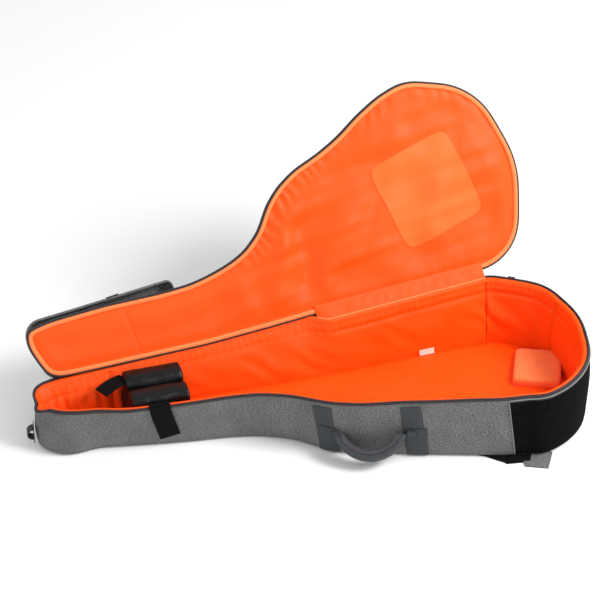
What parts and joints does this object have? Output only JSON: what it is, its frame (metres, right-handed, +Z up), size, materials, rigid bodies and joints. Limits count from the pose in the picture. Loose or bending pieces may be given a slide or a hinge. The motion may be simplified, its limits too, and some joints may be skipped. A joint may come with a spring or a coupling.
{
  "type": "padded gig bag",
  "caption": "Padded guitar gig bag lying open: zipped clamshell with orange lining, neck cradle, end pad, carry handle, headstock pocket and shoulder straps.",
  "frame": {"origin": "on the underside of the back panel, at mid length of the bag, on the neck's centre line", "axes": "+X along the bag towards the wide end, +Y towards the hinge side, +Z up out of the open tray"},
  "size_m": [1.1386, 0.6694, 0.5015],
  "materials": {
    "heather_cloth": "matte heather weave",
    "foam": "matte closed-cell",
    "lining": "soft nylon sheen",
    "lining_patch": "smooth",
    "lining_binding": "grosgrain",
    "zip_tape": "fine twill",
    "zip_chain": "satin",
    "bumper_cloth": "coarse ballistic weave",
    "cradle_vinyl": "soft satin vinyl",
    "black_webbing": "hook-and-loop webbing",
    "strap_cloth": "padded mesh",
    "grey_webbing": "flat webbing",
    "spacer_mesh": "spacer mesh",
    "label_cloth": "satin ribbon",
    "slider_metal": "black enamel"
  },
  "bodies": {
    "tray": {"back_panel_shell": "heather_cloth", "back_padding": "foam", "floor_lining": "lining", "side_wall_shell": "heather_cloth", "side_wall_padding": "foam", "side_wall_lining": "lining", "tray_zip_tape": "zip_tape", "tray_zip_chain": "zip_chain", "hinge_tape": "zip_tape", "end_bumper": "bumper_cloth", "end_pad": "lining", "neck_cradle_base": "cradle_vinyl", "cradle_roll_near": "cradle_vinyl", "cradle_roll_far": "cradle_vinyl", "cradle_strap_root": "black_webbing", "handle_band_neck": "grey_webbing", "handle_band_bout": "grey_webbing", "handle_end_neck": "grey_webbing", "handle_end_bout": "grey_webbing", "care_label": "label_cloth", "hang_loop": "grey_webbing", "hang_loop_patch": "grey_webbing", "strap_tab_near": "heather_cloth", "strap_tab_far": "heather_cloth", "zip_slider_bout": "slider_metal"},
    "lid": {"lid_shell": "heather_cloth", "lid_padding": "foam", "lid_lining": "lining", "lid_binding": "lining_binding", "lid_zip_tape": "zip_tape", "lid_zip_chain": "zip_chain", "bridge_patch": "lining_patch", "headstock_pocket": "heather_cloth", "pocket_zip": "zip_tape"},
    "handle": {"handle_grip": "grey_webbing", "handle_grip_mesh": "spacer_mesh"},
    "strap_near": {"shoulder_strap_near": "strap_cloth", "strap_webbing_near": "black_webbing"},
    "strap_far": {"shoulder_strap_far": "strap_cloth", "strap_webbing_far": "black_webbing"},
    "cradle_tail_near": {"cradle_strap_near": "black_webbing"},
    "cradle_tongue_far": {"cradle_strap_far": "black_webbing"},
    "slider_neck": {"zip_slider_neck": "slider_metal"},
    "pull_neck": {"zip_pull_neck": "slider_metal"},
    "pull_bout": {"zip_pull_bout": "slider_metal"},
    "pocket_slider": {"pocket_slider": "slider_metal"},
    "pocket_pull": {"pocket_pull": "slider_metal"}
  },
  "joints": [
    {"name": "lid_hinge", "type": "hinge", "parent": "tray", "child": "lid", "pos_m": [0.05902, 0.15537, 0.1296], "axis": [-0.98, -0.1871, -0.068], "range_deg": [-120.7, 53.3]},
    {"name": "handle_swing", "type": "hinge", "parent": "tray", "child": "handle", "pos_m": [0.033, -0.131, 0.052], "axis": [-0.9613, 0.2694, -0.0583], "range_deg": [0, 95]},
    {"name": "strap_near_swing", "type": "hinge", "parent": "tray", "child": "strap_near", "pos_m": [-0.148, -0.008, 0.003], "axis": [0, 1, 0], "range_deg": [0, 55]},
    {"name": "strap_far_swing", "type": "hinge", "parent": "tray", "child": "strap_far", "pos_m": [-0.148, 0.062, 0.003], "axis": [0, 1, 0], "range_deg": [0, 55]},
    {"name": "cradle_tail_swing", "type": "hinge", "parent": "tray", "child": "cradle_tail_near", "pos_m": [-0.30864, -0.06323, 0.10528], "axis": [-0.9939, -0.0856, -0.069], "range_deg": [0, 140]},
    {"name": "cradle_tongue_fold", "type": "hinge", "parent": "tray", "child": "cradle_tongue_far", "pos_m": [-0.37668, 0.02803, 0.0842], "axis": [-0.6157, 0.788, 0], "range_deg": [0, 65]},
    {"name": "slider_neck_run", "type": "slide", "parent": "tray", "child": "slider_neck", "axis": [-0.98, -0.1871, -0.068], "range_m": [0, 0.4]},
    {"name": "pull_neck_swing", "type": "hinge", "parent": "slider_neck", "child": "pull_neck", "pos_m": [-0.03056, 0.13802, 0.12037], "axis": [0.98, 0.1871, 0.068], "range_deg": [0, 20]},
    {"name": "pull_bout_swing", "type": "hinge", "parent": "tray", "child": "pull_bout", "pos_m": [0.44735, 0.19612, 0.15354], "axis": [0.8785, -0.4738, 0.061], "range_deg": [0, 75]},
    {"name": "pocket_slider_run", "type": "slide", "parent": "lid", "child": "pocket_slider", "axis": [0.9634, 0.2288, 0.1396], "range_m": [-0.035, 0.1]},
    {"name": "pocket_pull_flip", "type": "hinge", "parent": "pocket_slider", "child": "pocket_pull", "pos_m": [-0.39394, 0.16886, 0.20952], "axis": [0.1252, -0.8447, 0.5205], "range_deg": [0, 170]}
  ]
}
